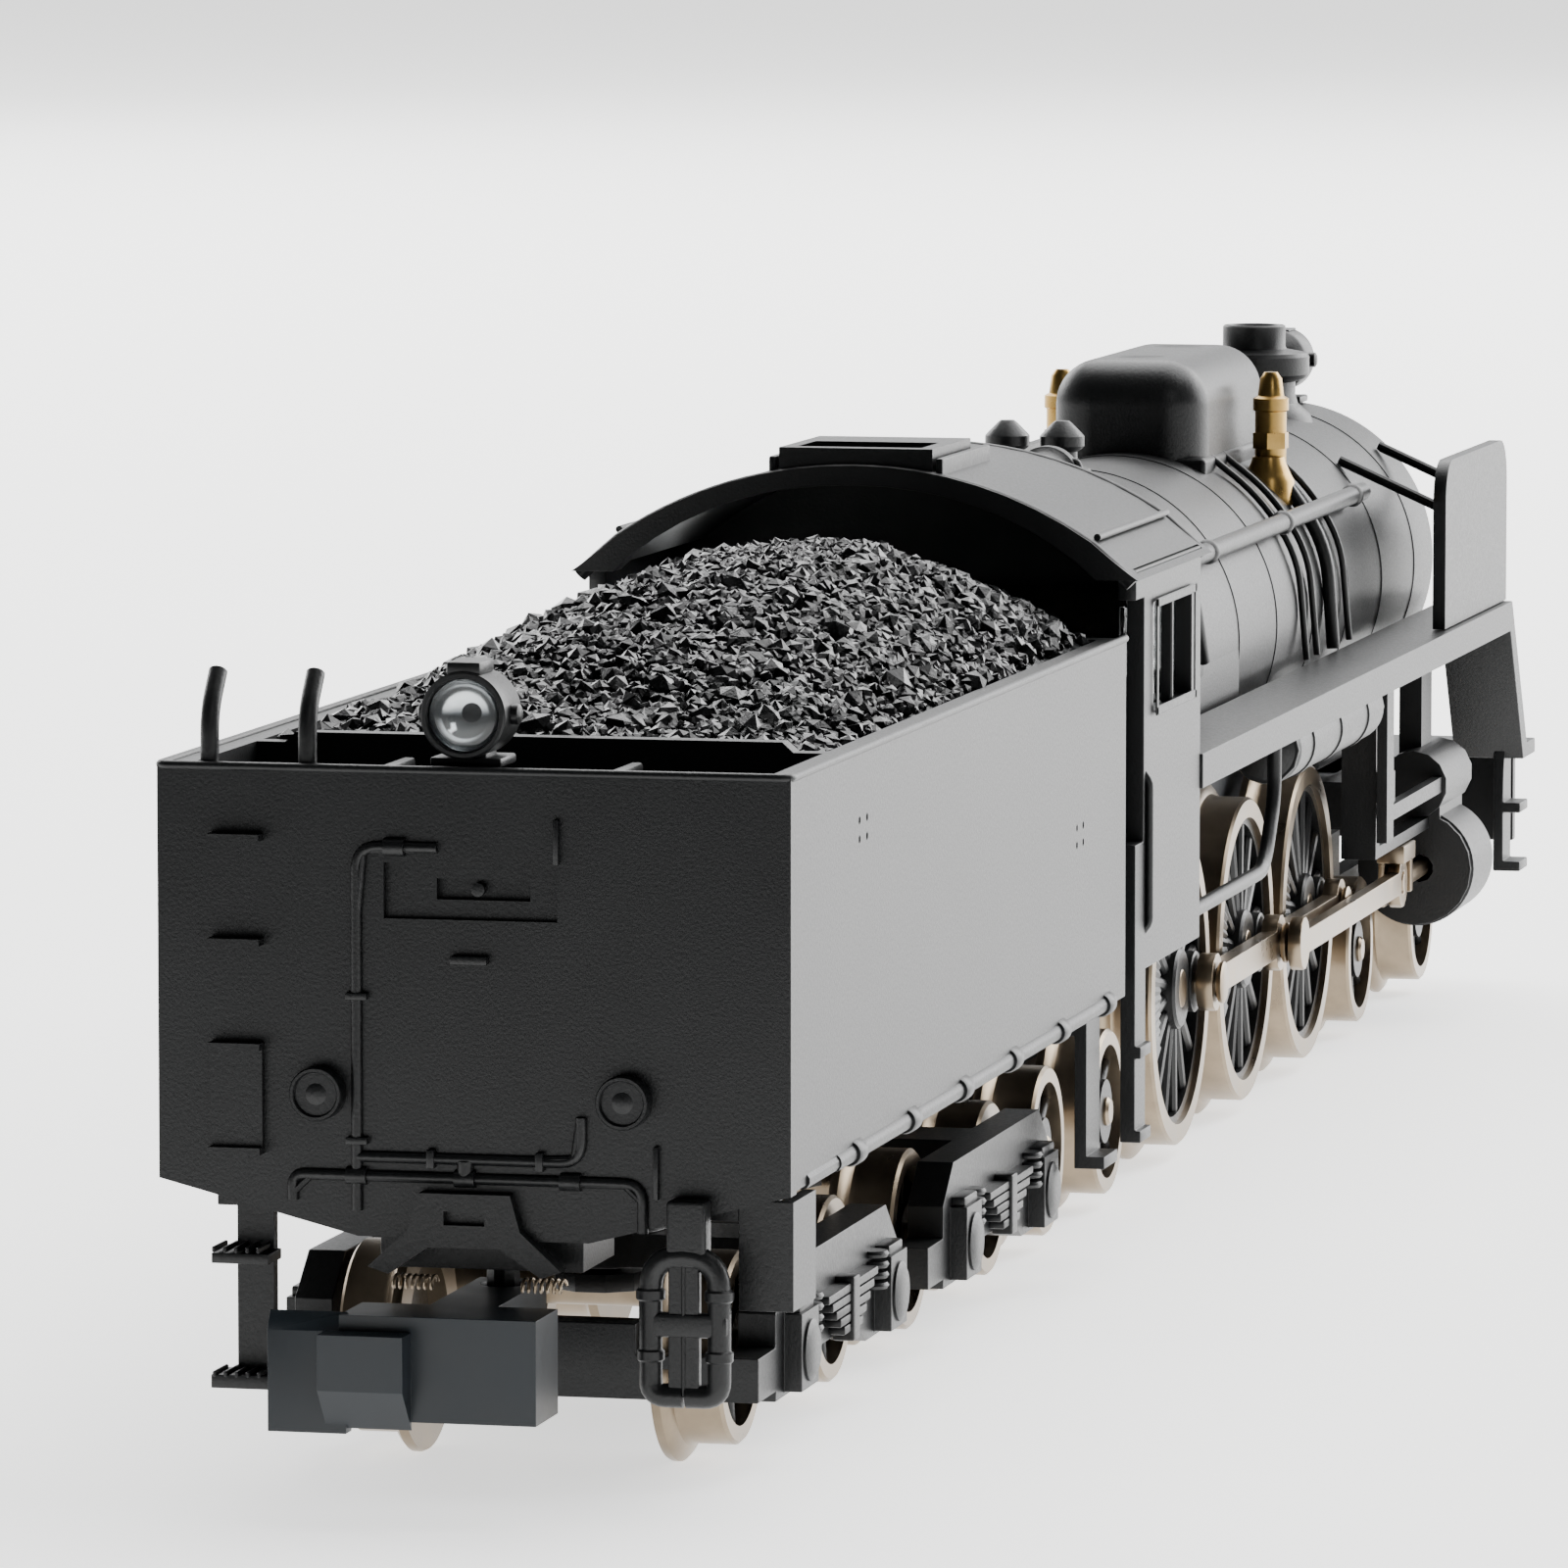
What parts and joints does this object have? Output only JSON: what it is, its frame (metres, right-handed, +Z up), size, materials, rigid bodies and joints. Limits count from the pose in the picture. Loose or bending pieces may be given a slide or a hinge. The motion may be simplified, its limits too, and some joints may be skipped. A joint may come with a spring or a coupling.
{
  "type": "model steam locomotive",
  "caption": "Small scale model of a black express steam locomotive with a bogie tender: turning drivers with rods, swivelling trucks, a coal load and a sprung hook coupler.",
  "frame": {"origin": "middle of the model's length and width, on the flat surface that its wheel flanges stand on", "axes": "+X along the boiler towards the chimney, +Y to the driver's left, +Z up"},
  "size_m": [0.1432, 0.0192, 0.0275],
  "materials": {
    "black_plastic": "satin black moulded plastic, fine matt grain",
    "coupler_plastic": "blue-grey moulded plastic",
    "coal": "glossy black granules",
    "brass": "turned bright brass",
    "wheel_nickel": "nickel plated, satin",
    "cast_zinc": "die-cast zinc, blackened",
    "motor_steel": "bright steel can",
    "drawbar_copper": "copper alloy strip",
    "lens": "clear moulded lens",
    "glazing": "clear moulded window"
  },
  "bodies": {
    "locomotive": {"loco_frame": "cast_zinc", "keeper_plate": "black_plastic", "motor": "motor_steel", "boiler": "black_plastic", "smokebox_door": "black_plastic", "chimney": "black_plastic", "steam_dome": "black_plastic", "feed_valve_left": "brass", "feed_valve_right": "brass", "safety_valves": "black_plastic", "generator": "black_plastic", "headlight": "black_plastic", "headlight_lens": "lens", "boiler_rail_left": "black_plastic", "boiler_rail_right": "black_plastic", "footplate": "black_plastic", "smoke_deflector_left": "black_plastic", "smoke_deflector_right": "black_plastic", "cab": "black_plastic", "cab_roof": "black_plastic", "cab_glazing": "glazing", "cylinder_left": "black_plastic", "cylinder_right": "black_plastic", "front_coupler": "coupler_plastic"},
    "main_drivers": {"driver_axle_main": "wheel_nickel"},
    "front_drivers": {"driver_axle_front": "wheel_nickel"},
    "rear_drivers": {"driver_axle_rear": "wheel_nickel"},
    "side_rod_left": {"side_rod_left": "wheel_nickel"},
    "side_rod_right": {"side_rod_right": "wheel_nickel"},
    "crosshead_left": {"crosshead_left": "wheel_nickel"},
    "crosshead_right": {"crosshead_right": "wheel_nickel"},
    "main_rod_left": {"main_rod_left": "wheel_nickel"},
    "main_rod_right": {"main_rod_right": "wheel_nickel"},
    "idler_gear": {"idler_gear": "brass"},
    "worm": {"worm": "brass"},
    "leading_truck": {"leading_truck": "black_plastic"},
    "leading_front_wheels": {"leading_axle_front": "wheel_nickel"},
    "leading_rear_wheels": {"leading_axle_rear": "wheel_nickel"},
    "trailing_truck": {"trailing_truck": "black_plastic"},
    "trailing_front_wheels": {"trailing_axle_front": "wheel_nickel"},
    "trailing_rear_wheels": {"trailing_axle_rear": "wheel_nickel"},
    "drawbar": {"drawbar": "drawbar_copper"},
    "tender": {"tender_body": "black_plastic", "coal_load": "coal", "tender_underframe": "black_plastic", "tender_weight": "cast_zinc", "rear_lamp": "black_plastic", "rear_lamp_lens": "lens", "grab_hook_left": "black_plastic", "grab_hook_right": "black_plastic", "brake_hoses": "black_plastic", "coupler_spring_left": "wheel_nickel", "coupler_spring_right": "wheel_nickel"},
    "rear_bogie": {"rear_bogie": "black_plastic"},
    "rear_bogie_rear_wheels": {"rear_bogie_axle_rear": "wheel_nickel"},
    "rear_bogie_front_wheels": {"rear_bogie_axle_front": "wheel_nickel"},
    "front_bogie": {"front_bogie": "black_plastic"},
    "front_bogie_rear_wheels": {"front_bogie_axle_rear": "wheel_nickel"},
    "front_bogie_front_wheels": {"front_bogie_axle_front": "wheel_nickel"},
    "coupler": {"coupler_hook": "coupler_plastic"}
  },
  "joints": [
    {"name": "main_drivers_turn", "type": "hinge", "parent": "locomotive", "child": "main_drivers", "pos_m": [0.0223, 0, 0.00615], "axis": [0, 1, 0], "continuous": true},
    {"name": "front_drivers_turn", "type": "hinge", "parent": "locomotive", "child": "front_drivers", "pos_m": [0.0351, 0, 0.00615], "axis": [0, 1, 0], "continuous": true},
    {"name": "rear_drivers_turn", "type": "hinge", "parent": "locomotive", "child": "rear_drivers", "pos_m": [0.0095, 0, 0.00615], "axis": [0, 1, 0], "continuous": true},
    {"name": "side_rod_left_turn", "type": "hinge", "parent": "main_drivers", "child": "side_rod_left", "pos_m": [0.0223, 0.00635, 0.00395], "axis": [0, 1, 0], "continuous": true},
    {"name": "side_rod_right_turn", "type": "hinge", "parent": "main_drivers", "child": "side_rod_right", "pos_m": [0.0245, -0.00635, 0.00615], "axis": [0, 1, 0], "continuous": true},
    {"name": "crosshead_left_slide", "type": "slide", "parent": "locomotive", "child": "crosshead_left", "axis": [1, 0, 0], "range_m": [-0.00209, 0.00231]},
    {"name": "crosshead_right_slide", "type": "slide", "parent": "locomotive", "child": "crosshead_right", "axis": [1, 0, 0], "range_m": [-0.0044, 0]},
    {"name": "main_rod_left_swing", "type": "hinge", "parent": "crosshead_left", "child": "main_rod_left", "pos_m": [0.04379, 0.0073, 0.00615], "axis": [0, 1, 0], "range_deg": [0, 11.7]},
    {"name": "main_rod_right_swing", "type": "hinge", "parent": "crosshead_right", "child": "main_rod_right", "pos_m": [0.0461, -0.0073, 0.00615], "axis": [0, 1, 0], "range_deg": [-5.85, 5.85]},
    {"name": "idler_gear_turn", "type": "hinge", "parent": "locomotive", "child": "idler_gear", "pos_m": [0.0223, 0, 0.01085], "axis": [0, 1, 0], "continuous": true},
    {"name": "worm_turn", "type": "hinge", "parent": "locomotive", "child": "worm", "pos_m": [0.0223, 0, 0.01545], "axis": [1, 0, 0], "continuous": true},
    {"name": "leading_truck_swing", "type": "hinge", "parent": "locomotive", "child": "leading_truck", "pos_m": [0.054, 0, 0.0065], "axis": [0, 0, 1], "range_deg": [-6, 6]},
    {"name": "leading_front_wheels_turn", "type": "hinge", "parent": "leading_truck", "child": "leading_front_wheels", "pos_m": [0.0612, 0, 0.0034], "axis": [0, 1, 0], "continuous": true},
    {"name": "leading_rear_wheels_turn", "type": "hinge", "parent": "leading_truck", "child": "leading_rear_wheels", "pos_m": [0.0468, 0, 0.0034], "axis": [0, 1, 0], "continuous": true},
    {"name": "trailing_truck_swing", "type": "hinge", "parent": "locomotive", "child": "trailing_truck", "pos_m": [-0.0088, 0, 0.0065], "axis": [0, 0, 1], "range_deg": [-6, 6]},
    {"name": "trailing_front_wheels_turn", "type": "hinge", "parent": "trailing_truck", "child": "trailing_front_wheels", "pos_m": [-0.0036, 0, 0.0034], "axis": [0, 1, 0], "continuous": true},
    {"name": "trailing_rear_wheels_turn", "type": "hinge", "parent": "trailing_truck", "child": "trailing_rear_wheels", "pos_m": [-0.014, 0, 0.0034], "axis": [0, 1, 0], "continuous": true},
    {"name": "drawbar_swing", "type": "hinge", "parent": "locomotive", "child": "drawbar", "pos_m": [-0.0142, 0, 0.007], "axis": [0, 0, 1], "range_deg": [-4, 4]},
    {"name": "tender_swing", "type": "hinge", "parent": "drawbar", "child": "tender", "pos_m": [-0.0203, 0, 0.007], "axis": [0, 0, 1], "range_deg": [-4, 4]},
    {"name": "rear_bogie_swing", "type": "hinge", "parent": "tender", "child": "rear_bogie", "pos_m": [-0.0522, 0, 0.007], "axis": [0, 0, 1], "range_deg": [-7, 7]},
    {"name": "rear_bogie_rear_wheels_turn", "type": "hinge", "parent": "rear_bogie", "child": "rear_bogie_rear_wheels", "pos_m": [-0.0582, 0, 0.0034], "axis": [0, 1, 0], "continuous": true},
    {"name": "rear_bogie_front_wheels_turn", "type": "hinge", "parent": "rear_bogie", "child": "rear_bogie_front_wheels", "pos_m": [-0.0462, 0, 0.0034], "axis": [0, 1, 0], "continuous": true},
    {"name": "front_bogie_swing", "type": "hinge", "parent": "tender", "child": "front_bogie", "pos_m": [-0.0293, 0, 0.007], "axis": [0, 0, 1], "range_deg": [-7, 7]},
    {"name": "front_bogie_rear_wheels_turn", "type": "hinge", "parent": "front_bogie", "child": "front_bogie_rear_wheels", "pos_m": [-0.0353, 0, 0.0034], "axis": [0, 1, 0], "continuous": true},
    {"name": "front_bogie_front_wheels_turn", "type": "hinge", "parent": "front_bogie", "child": "front_bogie_front_wheels", "pos_m": [-0.0233, 0, 0.0034], "axis": [0, 1, 0], "continuous": true},
    {"name": "coupler_swing", "type": "hinge", "parent": "tender", "child": "coupler", "pos_m": [-0.0638, 0, 0.0054], "axis": [0, 0, 1], "range_deg": [-12, 12], "stiffness_Nm_per_rad": 0.0001}
  ],
  "couplings": [
    {"joint": "front_drivers_turn", "follows": "main_drivers_turn", "ratio": 1},
    {"joint": "rear_drivers_turn", "follows": "main_drivers_turn", "ratio": 1},
    {"joint": "side_rod_left_turn", "follows": "main_drivers_turn", "ratio": -1},
    {"joint": "side_rod_right_turn", "follows": "main_drivers_turn", "ratio": -1},
    {"joint": "idler_gear_turn", "follows": "main_drivers_turn", "ratio": -0.84},
    {"joint": "worm_turn", "follows": "main_drivers_turn", "ratio": 16.8}
  ]
}
